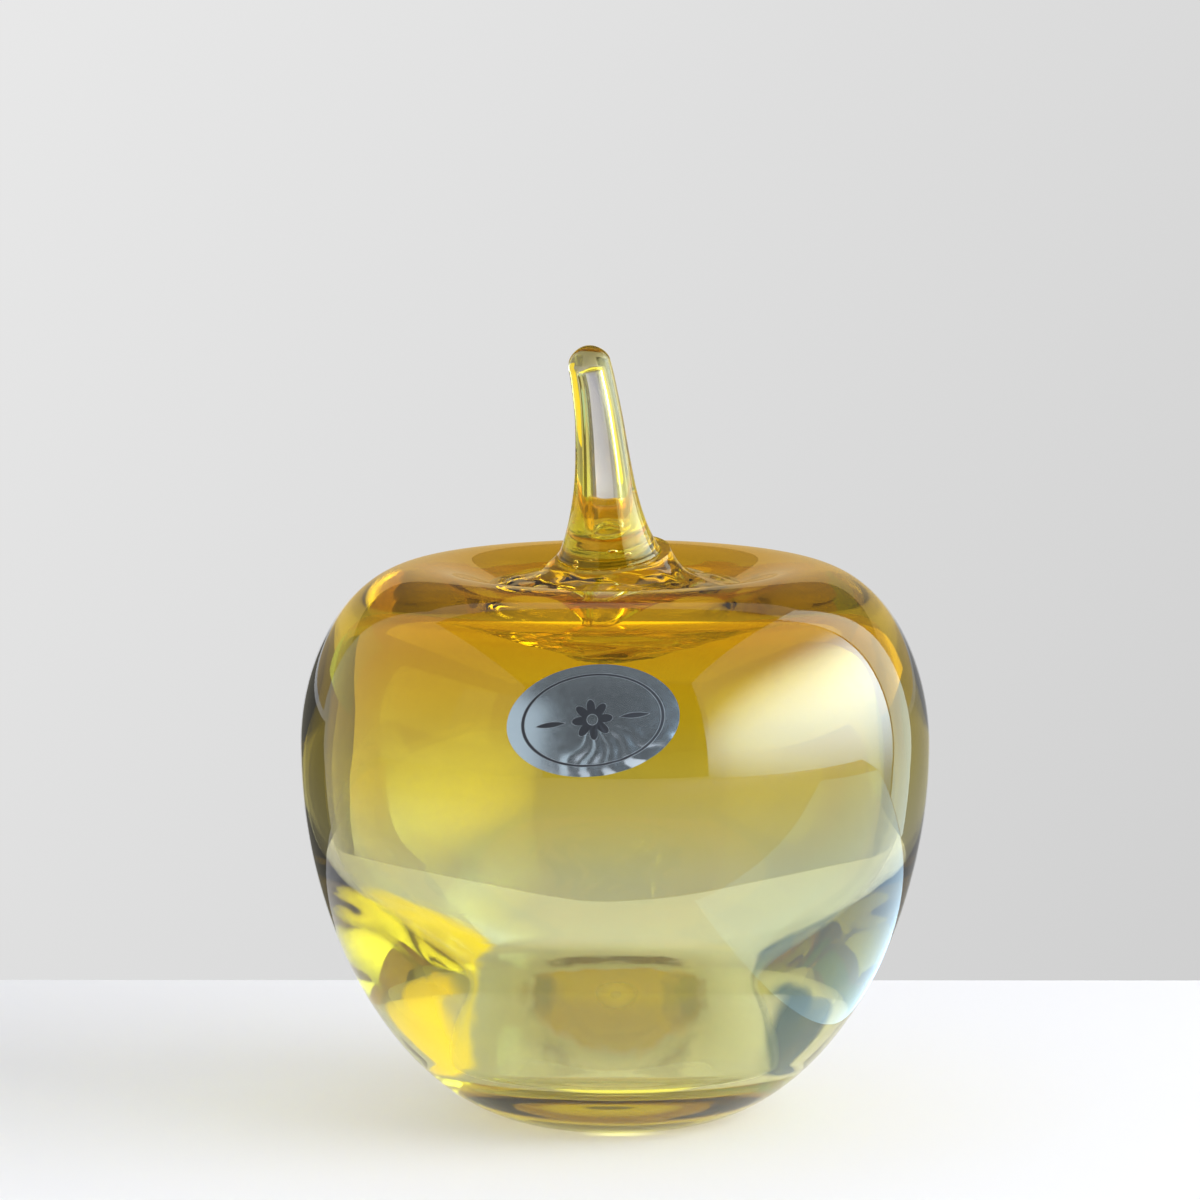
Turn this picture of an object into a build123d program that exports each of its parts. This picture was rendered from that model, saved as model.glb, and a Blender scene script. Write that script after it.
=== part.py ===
"""A hand-blown art glass apple: a hollow body, the seal in its neck, an applied stem and a foil label.

Millimetres, +Z up. The origin is the middle of the ground foot, on the surface that the apple stands on,
and -Y is the front, where the label is.
"""

import os
from math import cos, exp, radians, sin

from build123d import *

# Blown body, outside
belly_radius = 51.0
belly_height = 61.0
foot_radius = 17.2
foot_lift_angle = 14.0
foot_fullness = 19.1
belly_fullness_below = 30.5
belly_fullness_above = 14.0
crest_radius = 30.8
shoulder_rise = 29.1
crest_fullness_outside = 12.6
crest_fullness_inside = 8.0

# Dimple and neck, where the blowpipe was cracked off
neck_radius = 6.0
dimple_depth = 10.6
neck_fullness = 9.0
neck_slope = 4.0

# Glass thicknesses
belly_wall = 3.7
crest_wall = 4.0
neck_wall = 3.6
base_wall = 11.2

# Lower part of the cavity: a wall that leans in, and a rounded floor
floor_radius = 27.3
floor_rise = 3.2
floor_round = 7.1
floor_fullness = 19.8
wall_lean_angle = 30.5
wall_fullness = 24.0
cavity_fullness = 26.1

# Ground ring under the foot, round a polished pontil mark
foot_ring_width = 8.2
pontil_depth = 0.8

# Seal: a hot bit of glass that fills the dimple and closes the neck
skirt_radius = 22.0
skirt_bite = 1.0
skirt_flare = 8.0
seal_top_rise = 3.0
seat_margin = 0.3
bead_radius = 8.5
bead_drop = 1.6

# Seat where the stem is stuck to the seal, and its lean
seat_rise = 1.9
seat_x = -0.9
seat_y = -0.8
seat_lean_left = 5.0
seat_lean_forward = 11.0

# Stem, pulled out of a second bit of glass
stem_root_radius = 8.4
stem_tip_radius = 3.1
stem_flare_length = 10.0
stem_knob_radius = 3.4
stem_tip_x = -4.1
stem_tip_y = -4.4
stem_rise = 31.0
stem_bend_below = 9.0
stem_bend_above = 9.0
stem_tip_lean = 14.0
stem_sections = 9

# Long bubble that was drawn out with the stem
core_root_radius = 2.6
core_tip_radius = 1.6
core_root_gap = 4.0
core_tip_gap = 2.0

# Oval foil label on the front of the shoulder
label_width = 27.0
label_height = 17.5
label_thickness = 0.12
label_x = -3.5
label_rise = 11.5
label_turn = 7.5

# How finely curves are sampled
skin_stations = 8
halvings = 50

# Heights above the surface that the apple stands on
crest_height = belly_height + shoulder_rise
neck_height = crest_height - dimple_depth
floor_edge_height = base_wall + floor_rise
seat_height = crest_height + seat_rise
label_z = belly_height + label_rise


def bezier_point(controls, share):
    """The point of a cubic Bezier curve at a share of its parameter, as (radius, height)."""
    rest = 1 - share
    weights = (rest**3, 3 * rest**2 * share, 3 * rest * share**2, share**3)
    return tuple(sum(w * c[axis] for w, c in zip(weights, controls)) for axis in (0, 1))


def bezier_crossing(controls, value, axis):
    """The point of a cubic Bezier curve where its radius (axis 0) or height (axis 1) has a value."""
    low, high = 0.0, 1.0
    rising = controls[-1][axis] > controls[0][axis]
    for _ in range(halvings):
        middle = (low + high) / 2
        if (bezier_point(controls, middle)[axis] < value) == rising:
            low = middle
        else:
            high = middle
    return bezier_point(controls, low)


def skin_points(controls, distance):
    """Points at a distance outside a cubic Bezier curve that runs up the outside of the body."""
    steps = [tuple(b - a for a, b in zip(first, second)) for first, second in zip(controls, controls[1:])]
    points = []
    for station in range(skin_stations + 1):
        share = station / skin_stations
        weights = ((1 - share) ** 2, 2 * (1 - share) * share, share**2)
        run, rise = (sum(w * step[axis] for w, step in zip(weights, steps)) for axis in (0, 1))
        radius, height = bezier_point(controls, share)
        length = (run**2 + rise**2) ** 0.5
        points.append((radius + distance * rise / length, height - distance * run / length))
    return points


# Control points of the body's section, as (radius, height)
foot_run = (cos(radians(foot_lift_angle)) * foot_fullness, sin(radians(foot_lift_angle)) * foot_fullness)
wall_lean = (sin(radians(wall_lean_angle)), cos(radians(wall_lean_angle)))
lower_belly = (
    (foot_radius, 0),
    (foot_radius + foot_run[0], foot_run[1]),
    (belly_radius, belly_height - belly_fullness_below),
    (belly_radius, belly_height),
)
shoulder = (
    (belly_radius, belly_height),
    (belly_radius, belly_height + belly_fullness_above),
    (crest_radius + crest_fullness_outside, crest_height),
    (crest_radius, crest_height),
)
dimple = (
    (crest_radius, crest_height),
    (crest_radius - crest_fullness_inside, crest_height),
    (neck_radius + neck_fullness, neck_height + neck_slope),
    (neck_radius, neck_height),
)
neck_underside = (
    (neck_radius, neck_height - neck_wall),
    (neck_radius + neck_fullness, neck_height - neck_wall + neck_slope),
    (crest_radius - crest_fullness_inside, crest_height - crest_wall),
    (crest_radius, crest_height - crest_wall),
)
cavity_shoulder = (
    (crest_radius, crest_height - crest_wall),
    (crest_radius + crest_fullness_outside, crest_height - crest_wall),
    (belly_radius - belly_wall, belly_height + belly_fullness_above),
    (belly_radius - belly_wall, belly_height),
)
cavity_wall = (
    (belly_radius - belly_wall, belly_height),
    (belly_radius - belly_wall, belly_height - cavity_fullness),
    (floor_radius + wall_lean[0] * wall_fullness, floor_edge_height + wall_lean[1] * wall_fullness),
    (floor_radius, floor_edge_height),
)
cavity_floor = (
    (floor_radius, floor_edge_height),
    (floor_radius - wall_lean[0] * floor_round, floor_edge_height - wall_lean[1] * floor_round),
    (floor_fullness, base_wall),
    (0, base_wall),
)

# Blown body: a hollow shell of revolution, open only at the neck
pontil_radius = foot_radius - foot_ring_width
with BuildPart() as blown_body:
    with BuildSketch(Plane.XZ) as body_section:
        with BuildLine() as body_outline:
            TangentArc((0, pontil_depth), (pontil_radius, 0), tangent=(1, 0))
            Line((pontil_radius, 0), (foot_radius, 0))
            Bezier(*lower_belly)
            Bezier(*shoulder)
            Bezier(*dimple)
            Line((neck_radius, neck_height), (neck_radius, neck_height - neck_wall))
            Bezier(*neck_underside)
            Bezier(*cavity_shoulder)
            Bezier(*cavity_wall)
            Bezier(*cavity_floor)
            Line((0, base_wall), (0, pontil_depth))
        make_face()
    revolve(axis=Axis.Z)
blown_body.part.label = "blown_body"

# The seat is square to the stem's first direction
seat_direction = Vector(0, 0, 1).rotate(Axis.X, seat_lean_forward).rotate(Axis.Y, -seat_lean_left)
seat_centre = Vector(seat_x, seat_y, seat_height)
seat_plane = Plane(origin=seat_centre, x_dir=(1, 0, 0), z_dir=seat_direction)

# Neck seal: the skirt in the dimple, the plug in the neck and the bead below it
skirt_edge_height = bezier_crossing(dimple, skirt_radius, axis=0)[1] - skirt_bite
bead_edge_height = bezier_crossing(neck_underside, bead_radius, axis=0)[1] + neck_wall / 2
bead_bottom = neck_height - neck_wall - bead_drop
seal_top = seat_height + seal_top_rise
seal_top_radius = stem_root_radius + seat_margin
with BuildPart() as neck_seal:
    with BuildSketch(Plane.XZ) as seal_section:
        with BuildLine() as seal_outline:
            TangentArc((0, bead_bottom), (bead_radius, bead_edge_height), tangent=(1, 0))
            Line((bead_radius, bead_edge_height), (skirt_radius, skirt_edge_height))
            Bezier(
                (skirt_radius, skirt_edge_height),
                (skirt_radius - skirt_flare, skirt_edge_height + skirt_bite),
                (seal_top_radius, seat_height - seal_top_rise),
                (seal_top_radius, seal_top),
            )
            Polyline((seal_top_radius, seal_top), (0, seal_top), (0, bead_bottom))
        make_face()
    revolve(axis=Axis.Z)
    split(bisect_by=seat_plane, keep=Keep.BOTTOM)
    add(blown_body.part, mode=Mode.SUBTRACT)
neck_seal.part.label = "neck_seal"

# Stem: round sections that shrink away from the seat along a bent centreline, with a knob where it was cut
tip_centre = Vector(stem_tip_x, stem_tip_y, seat_height + stem_rise)
tip_direction = Vector(0, 0, 1).rotate(Axis.Y, -stem_tip_lean)
with BuildLine() as stem_centreline:
    spine = Bezier(
        seat_centre,
        seat_centre + seat_direction * stem_bend_below,
        tip_centre - tip_direction * stem_bend_above,
        tip_centre,
    )
core_root = core_root_gap / spine.length
core_tip = 1 - core_tip_gap / spine.length
with BuildPart() as stem:
    for section in range(stem_sections):
        share = section / (stem_sections - 1)
        taper = exp(-share * spine.length / stem_flare_length)
        section_plane = Plane(origin=spine @ share, x_dir=(1, 0, 0), z_dir=spine % share)
        with BuildSketch(section_plane):
            Circle(stem_tip_radius + (stem_root_radius - stem_tip_radius) * taper)
    loft()
    with Locations(tip_centre):
        Sphere(stem_knob_radius)
    for section in range(stem_sections):
        part_way = section / (stem_sections - 1)
        share = core_root + (core_tip - core_root) * part_way
        section_plane = Plane(origin=spine @ share, x_dir=(1, 0, 0), z_dir=spine % share)
        with BuildSketch(section_plane):
            Circle(core_root_radius + (core_tip_radius - core_root_radius) * part_way)
    loft(mode=Mode.SUBTRACT)
    with Locations(spine @ core_root):
        Sphere(core_root_radius, mode=Mode.SUBTRACT)
    with Locations(spine @ core_tip):
        Sphere(core_tip_radius, mode=Mode.SUBTRACT)
stem.part.label = "stem"

# Foil label: an oval cut from a thin skin that lies on the outside of the body
label_radius = bezier_crossing(shoulder, label_z, axis=1)[0]
label_centre = Vector(label_x, -((label_radius**2 - label_x**2) ** 0.5), label_z)
label_face = blown_body.faces().sort_by_distance(label_centre)[0]
label_normal = label_face.normal_at(label_centre)
label_plane = Plane(origin=label_centre, x_dir=Vector(0, 0, 1).cross(label_normal), z_dir=label_normal)
lower_skin = skin_points(lower_belly, label_thickness)
upper_skin = skin_points(shoulder, label_thickness)
with BuildPart() as foil_label:
    with BuildSketch(Plane.XZ) as skin_section:
        with BuildLine() as skin_outline:
            Bezier(*lower_belly)
            Bezier(*shoulder)
            Line(shoulder[-1], upper_skin[-1])
            Spline(*upper_skin)
            Spline(*lower_skin)
            Line(lower_skin[0], lower_belly[0])
        make_face()
    revolve(axis=Axis.Z)
    with BuildSketch(label_plane.offset(-label_height)) as label_oval:
        Ellipse(label_width / 2, label_height / 2, rotation=label_turn)
    extrude(amount=2 * label_height, mode=Mode.INTERSECT)
foil_label.part.label = "foil_label"

os.makedirs("parts", exist_ok=True)
for piece in (blown_body, neck_seal, stem, foil_label):
    export_step(piece.part, f"parts/{piece.part.label}.step")
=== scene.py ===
"""The looks of the art glass apple: thick amber glass, a sealed neck, an applied stem and a foil label.

Shapes are worked out in millimetres in the part's own frame and scaled to metres as the meshes are made.
"""

import random
from bisect import bisect_left
from math import atan2, cos, exp, hypot, pi, radians, sin, sqrt

import bpy
from mathutils import Euler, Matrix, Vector, noise


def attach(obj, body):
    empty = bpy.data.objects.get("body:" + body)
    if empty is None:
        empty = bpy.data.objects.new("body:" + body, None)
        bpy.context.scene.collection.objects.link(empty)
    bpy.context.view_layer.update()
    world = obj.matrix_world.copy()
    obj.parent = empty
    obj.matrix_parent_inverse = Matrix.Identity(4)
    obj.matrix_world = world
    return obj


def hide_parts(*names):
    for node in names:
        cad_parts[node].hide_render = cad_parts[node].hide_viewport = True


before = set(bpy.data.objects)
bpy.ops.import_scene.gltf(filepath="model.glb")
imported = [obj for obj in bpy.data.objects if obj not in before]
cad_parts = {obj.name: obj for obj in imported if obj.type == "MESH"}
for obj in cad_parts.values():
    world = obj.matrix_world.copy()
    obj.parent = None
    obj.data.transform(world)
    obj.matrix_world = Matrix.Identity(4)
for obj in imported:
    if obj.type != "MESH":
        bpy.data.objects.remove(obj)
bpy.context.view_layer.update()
random.seed(7)
MM = 0.001

# The body's section in millimetres, as in the CAD part
BELLY_RADIUS = 51.0
BELLY_HEIGHT = 61.0
FOOT_RADIUS = 17.2
FOOT_LIFT = radians(14.0)
FOOT_FULLNESS = 19.1
BELLY_BELOW = 30.5
BELLY_ABOVE = 14.0
CREST_RADIUS = 30.8
CREST_HEIGHT = 90.1
CREST_OUTSIDE = 12.6
CREST_INSIDE = 8.0
NECK_RADIUS = 6.0
NECK_HEIGHT = 79.5
NECK_FULLNESS = 9.0
NECK_SLOPE = 4.0
BELLY_WALL = 3.7
CREST_WALL = 4.0
NECK_WALL = 3.6
BASE_WALL = 11.2
FLOOR_RADIUS = 27.3
FLOOR_ROUND = 7.1
FLOOR_EDGE_HEIGHT = 14.4
FLOOR_FULLNESS = 19.8
WALL_LEAN = radians(30.5)
WALL_FULLNESS = 24.0
CAVITY_FULLNESS = 26.1
PONTIL_RADIUS = 9.0
PONTIL_DEPTH = 0.8

# The seal, its seat and the stem
SKIRT_RADIUS = 22.0
SKIRT_BITE = 1.0
SKIRT_FLARE = 8.0
SEAL_TOP_RISE = 3.0
SEAT_MARGIN = 0.3
BEAD_RADIUS = 8.5
BEAD_DROP = 1.6
SEAT = Vector((-0.9, -0.8, 92.0))
SEAT_TURN = Euler((radians(11.0), radians(-5.0), 0.0), "XYZ").to_matrix()
STEM_ROOT = 8.4
STEM_TIP = 3.1
STEM_FLARE = 11.5
STEM_KNOB = 3.4
STEM_END = Vector((-4.1, -4.4, 123.0))
STEM_BEND = 9.0
STEM_TIP_LEAN = radians(14.0)
KNOB_HEIGHT = 0.95
# Painted side light on the stem: where it starts at the front and the back, how softly it comes in, and its
# strength on the right
SIDE_LIGHT_STARTS_FRONT = 0.50
SIDE_LIGHT_STARTS_BACK = 0.70
SIDE_LIGHT_BLEND = 0.18
RIGHT_SIDE_LIGHT = 0.9

# The long bubble in the stem: the shares of the spine it spans, its round ends, and how it widens to the root
CORE_SPAN = (0.09, 0.995)
CORE_ROUND = (0.05, 0.03)
CORE_RADIUS = 1.6
CORE_WIDENING = 0.95
CORE_WIDENS_BELOW = 28.0
CORE_WIDENS_OVER = 18.0

# Small bubbles in the seal, as ranges
SEED_COUNT = 16
SEED_REACH = (2.0, 8.2)
SEED_DEPTH = (0.8, 2.6)
SEED_SIZE = (0.14, 0.42)

# The label
LABEL_WIDTH = 27.0
LABEL_HEIGHT = 17.5
LABEL_THICKNESS = 0.12
LABEL_X = -3.5
LABEL_Z = 72.5
LABEL_TURN = radians(7.5)
FOLD_START = (0.8, 0.4)
FOLD_ANGLE = 0.44
FOLD_HEIGHT = 0.34
FOLD_FAN = (-2.4, -0.30)
FOLD_SOFT = 0.35
FOLD_WAVER = 0.09
FOLD_REACH = 9.0
FOIL_SHINE = 0.95
LABEL_GAP = 0.03
LABEL_SEARCH = (-8.0, 2.0)

# Waves and ripples left by handwork, as rows of (height, spread, seed)
OUTER_WAVES = ((0.10, 34.0, 1.7), (0.04, 15.0, 5.9))
INNER_WAVES = ((0.10, 26.0, 4.4), (0.02, 9.0, 2.2))
INNER_FADE = 8.0
FLOOR_FADE = 20.0
SKIRT_WAVES = ((0.45, 6.0, 6.6), (0.25, 3.0, 9.4))
SKIRT_LEAN = 0.6
STEM_WAVES = ((0.10, 7.0, 2.9),)
KNOB_WAVES = ((0.22, 3.0, 7.7),)
FUNNEL_WAVES = ((0.8, 8.0, 3.1),)
FUNNEL_EDGE = 27.0
THREADS = 1.9
THREAD_STRETCH = 2.7
THREAD_START = 6.0
THREAD_SEED = 3.1

# How many rings make each stretch of a skin, and how many points make a ring
ROUND = 192
PONTIL_RINGS = 8
BELLY_RINGS = 72
SHOULDER_RINGS = 64
FLOOR_RINGS = 64
DIMPLE_RINGS = 24
FUNNEL_RINGS = 56
JOINT_RINGS = 20
BEAD_RINGS = 12
BEAD_JOINT_RINGS = 3
SKIRT_RINGS = 32
STEM_AROUND = 96
STEM_RINGS = 72
KNOB_RINGS = 12
CORE_RINGS = 48
BUBBLE_AROUND = 16
BUBBLE_RINGS = 8
LABEL_AROUND = 160
LABEL_RINGS = 40
CURVE_STEPS = 300
SPINE_STEPS = 200
SPINE_NUDGE = 0.002
NEAR = 0.001

# How far apart two fused faces are kept, so that a ray meets them one at a time
FUSED_GAP = 0.02
GLASS_IOR = 1.5
WHITE = (1.0, 1.0, 1.0)


def bezier(controls, share):
    """A point of a cubic Bezier curve, with as many coordinates as its control points have."""
    rest = 1 - share
    weights = (rest**3, 3 * rest**2 * share, 3 * rest * share**2, share**3)
    return tuple(sum(w * c[axis] for w, c in zip(weights, controls)) for axis in range(len(controls[0])))


def halve(low, high, is_low, halvings=50):
    """Narrows a range down to the place where a test stops holding, and gives both of its ends."""
    for _ in range(halvings):
        middle = (low + high) / 2
        if is_low(middle):
            low = middle
        else:
            high = middle
    return low, high


def bezier_share(controls, value, axis):
    """The share at which a coordinate of a cubic Bezier curve has a value."""
    rising = controls[-1][axis] > controls[0][axis]
    return halve(0.0, 1.0, lambda share: (bezier(controls, share)[axis] < value) == rising)[0]


def bezier_run(controls, first, last, steps):
    """Points along a stretch of a cubic Bezier curve, without the first one."""
    return [bezier(controls, first + (last - first) * (i + 1) / steps) for i in range(steps)]


def height_on(curve, radius):
    """The height of a curve of the section at a radius."""
    return bezier(curve, bezier_share(curve, radius, 0))[1]


FOOT_RUN = (cos(FOOT_LIFT) * FOOT_FULLNESS, sin(FOOT_LIFT) * FOOT_FULLNESS)
LOWER_BELLY = (
    (FOOT_RADIUS, 0.0),
    (FOOT_RADIUS + FOOT_RUN[0], FOOT_RUN[1]),
    (BELLY_RADIUS, BELLY_HEIGHT - BELLY_BELOW),
    (BELLY_RADIUS, BELLY_HEIGHT),
)
SHOULDER = (
    (BELLY_RADIUS, BELLY_HEIGHT),
    (BELLY_RADIUS, BELLY_HEIGHT + BELLY_ABOVE),
    (CREST_RADIUS + CREST_OUTSIDE, CREST_HEIGHT),
    (CREST_RADIUS, CREST_HEIGHT),
)
DIMPLE = (
    (CREST_RADIUS, CREST_HEIGHT),
    (CREST_RADIUS - CREST_INSIDE, CREST_HEIGHT),
    (NECK_RADIUS + NECK_FULLNESS, NECK_HEIGHT + NECK_SLOPE),
    (NECK_RADIUS, NECK_HEIGHT),
)
NECK_UNDERSIDE = (
    (NECK_RADIUS, NECK_HEIGHT - NECK_WALL),
    (NECK_RADIUS + NECK_FULLNESS, NECK_HEIGHT - NECK_WALL + NECK_SLOPE),
    (CREST_RADIUS - CREST_INSIDE, CREST_HEIGHT - CREST_WALL),
    (CREST_RADIUS, CREST_HEIGHT - CREST_WALL),
)
CAVITY_SHOULDER = (
    (CREST_RADIUS, CREST_HEIGHT - CREST_WALL),
    (CREST_RADIUS + CREST_OUTSIDE, CREST_HEIGHT - CREST_WALL),
    (BELLY_RADIUS - BELLY_WALL, BELLY_HEIGHT + BELLY_ABOVE),
    (BELLY_RADIUS - BELLY_WALL, BELLY_HEIGHT),
)
CAVITY_WALL = (
    (BELLY_RADIUS - BELLY_WALL, BELLY_HEIGHT),
    (BELLY_RADIUS - BELLY_WALL, BELLY_HEIGHT - CAVITY_FULLNESS),
    (FLOOR_RADIUS + sin(WALL_LEAN) * WALL_FULLNESS, FLOOR_EDGE_HEIGHT + cos(WALL_LEAN) * WALL_FULLNESS),
    (FLOOR_RADIUS, FLOOR_EDGE_HEIGHT),
)
CAVITY_FLOOR = (
    (FLOOR_RADIUS, FLOOR_EDGE_HEIGHT),
    (FLOOR_RADIUS - sin(WALL_LEAN) * FLOOR_ROUND, FLOOR_EDGE_HEIGHT - cos(WALL_LEAN) * FLOOR_ROUND),
    (FLOOR_FULLNESS, BASE_WALL),
    (0.0, BASE_WALL),
)

# Where the seal's skirt and bead end on the body
SKIRT_EDGE = height_on(DIMPLE, SKIRT_RADIUS) - SKIRT_BITE
SEAL_TOP = SEAT.z + SEAL_TOP_RISE
SKIRT = (
    (SKIRT_RADIUS, SKIRT_EDGE),
    (SKIRT_RADIUS - SKIRT_FLARE, SKIRT_EDGE + SKIRT_BITE),
    (STEM_ROOT + SEAT_MARGIN, SEAT.z - SEAL_TOP_RISE),
    (STEM_ROOT + SEAT_MARGIN, SEAL_TOP),
)


def skirt_start():
    """The share of the skirt's curve at which it comes out of the dimple's surface."""

    def is_sunk(share):
        radius, height = bezier(SKIRT, share)
        return height < height_on(DIMPLE, radius)

    return halve(0.0, 0.6, is_sunk)[1]


SKIRT_START = skirt_start()
SKIRT_MEETS = bezier(SKIRT, SKIRT_START)[0]
BEAD_BOTTOM = NECK_HEIGHT - NECK_WALL - BEAD_DROP
BEAD_RISE = height_on(NECK_UNDERSIDE, BEAD_RADIUS) + NECK_WALL / 2 - BEAD_BOTTOM
BEAD_ROUND = (BEAD_RADIUS**2 + BEAD_RISE**2) / (2 * BEAD_RISE)


def bead_height(radius):
    """The height of the bead's round underside at a radius."""
    return BEAD_BOTTOM + BEAD_ROUND - sqrt(BEAD_ROUND**2 - radius**2)


def is_below_wall(radius):
    """Whether the bead's underside is still below the underside of the body's neck."""
    return bead_height(radius) < height_on(NECK_UNDERSIDE, radius)


BEAD_MEETS = halve(NECK_RADIUS, BEAD_RADIUS, is_below_wall)[0]


def wobble(x, y, z, size, seed):
    """A smooth random number between about -1 and 1 that changes over a size in millimetres."""
    return noise.noise(Vector((x / size + seed, y / size - seed, z / size + 2 * seed)))


def waves(rows, x, y, z):
    """The sum of some rows of waves at a point, in millimetres."""
    return sum(height * wobble(x, y, z, spread, seed) for height, spread, seed in rows)


def funnel_ripple(x, y):
    """How far the underside of the neck sinks and rises, in millimetres."""
    radius = hypot(x, y)
    turn = atan2(y, x)
    fade = max(0.0, 1.0 - (radius / FUNNEL_EDGE) ** 2)
    threads = wobble(radius / THREAD_STRETCH, THREADS * cos(turn), THREADS * sin(turn), 1.0, THREAD_SEED)
    return fade * (waves(FUNNEL_WAVES, x, y, 0) + min(1.0, radius / THREAD_START) * threads)


def add_object(name, data):
    """Adds an object with some data to the scene."""
    item = bpy.data.objects.new(name, data)
    bpy.context.scene.collection.objects.link(item)
    return item


def add_mesh(name, points, faces, joint_faces=(), sharp_pairs=(), streaks=None):
    """A mesh object from points in millimetres. Joint faces are those fused to another piece of glass."""
    mesh = bpy.data.meshes.new(name)
    mesh.from_pydata([Vector(p) * MM for p in points], [], faces)
    flags = mesh.attributes.new("fused", "FLOAT", "FACE")
    joint_faces = set(joint_faces)
    flags.data.foreach_set("value", [1.0 if i in joint_faces else 0.0 for i in range(len(faces))])
    mesh.polygons.foreach_set("use_smooth", [True] * len(faces))
    # Shares of painted side light at the points
    if streaks:
        shares = mesh.attributes.new("painted_side_light", "FLOAT", "POINT")
        shares.data.foreach_set("value", [streaks.get(i, 0.0) for i in range(len(points))])
    if sharp_pairs:
        sharp_pairs = {tuple(sorted(pair)) for pair in sharp_pairs}
        for edge in mesh.edges:
            if tuple(sorted(edge.vertices)) in sharp_pairs:
                edge.use_edge_sharp = True
    mesh.update()
    return add_object(name, mesh)


def ring_faces(first, second, around, flip=False):
    """Quads between two rings of vertices, given by the index of their first vertex."""
    faces = []
    for i in range(around):
        j = (i + 1) % around
        face = (first + i, first + j, second + j, second + i)
        faces.append(face[::-1] if flip else face)
    return faces


def cap_faces(pole, ring, around, flip=False):
    """Triangles between a pole and a ring of vertices."""
    faces = []
    for i in range(around):
        j = (i + 1) % around
        face = (pole, ring + j, ring + i)
        faces.append(face[::-1] if flip else face)
    return faces


class Skin:
    """A closed skin made ring by ring, from one pole to the other."""

    def __init__(self, around):
        self.around = around
        self.flip = False
        self.points = []
        self.faces = []
        self.joints = []
        self.sharp = []
        # Painted side light, by point
        self.streaks = {}
        self.last = None
        self.pole = None

    def add_pole(self, point, fused=False):
        """Starts a skin at a point, or closes it there."""
        index = len(self.points)
        self.points.append(point)
        if self.last is None:
            self.pole = index
            return
        self.add_faces(cap_faces(index, self.last, self.around, not self.flip), fused)

    def add_ring(self, ring, fused=False, sharp=False):
        """Joins a ring of points to the last ring or pole."""
        start = len(self.points)
        self.points.extend(ring)
        if self.pole is not None:
            self.add_faces(cap_faces(self.pole, start, self.around, self.flip), fused)
            self.pole = None
        elif self.last is not None:
            self.add_faces(ring_faces(self.last, start, self.around, self.flip), fused)
        if sharp:
            self.sharp += [(start + i, start + (i + 1) % self.around) for i in range(self.around)]
        self.last = start

    def add_faces(self, faces, fused):
        """Adds faces, and notes those that are fused to another piece."""
        if fused:
            self.joints += range(len(self.faces), len(self.faces) + len(faces))
        self.faces += faces

    def restart(self):
        """Starts another closed skin of the same piece, such as a bubble."""
        self.last = None
        self.pole = None

    def make(self, name):
        """The piece that has this skin."""
        return add_mesh(name, self.points, self.faces, self.joints, self.sharp, self.streaks)


ANGLES = [2 * pi * i / ROUND for i in range(ROUND)]


def turned(radius, height):
    """A ring of points round the axis."""
    return [(radius * cos(a), radius * sin(a), height) for a in ANGLES]


def rippled(radius, height):
    """A ring of points round the axis that follows the ripples under the neck."""
    return [(x, y, z + funnel_ripple(x, y)) for x, y, z in turned(radius, height)]


def outer_wave(ring):
    """Moves a ring's points in and out a little, as the outside of blown glass does."""
    moved = []
    for x, y, z in ring:
        radius = hypot(x, y)
        scale = (radius + waves(OUTER_WAVES, x, y, z)) / radius
        moved.append((x * scale, y * scale, z))
    return moved


def inner_wave(ring):
    """Moves a ring of the cavity's skin a little, less evenly than the outside."""
    moved = []
    for x, y, z in ring:
        radius = hypot(x, y)
        shift = waves(INNER_WAVES, x, y, z)
        fade = min(1.0, (CREST_HEIGHT - CREST_WALL - z) / INNER_FADE)
        flat = max(0.0, 1.0 - z / FLOOR_FADE)
        scale = (radius + shift * max(fade, 0.0) * (1 - flat)) / radius
        moved.append((x * scale, y * scale, z + shift * flat))
    return moved


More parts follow.
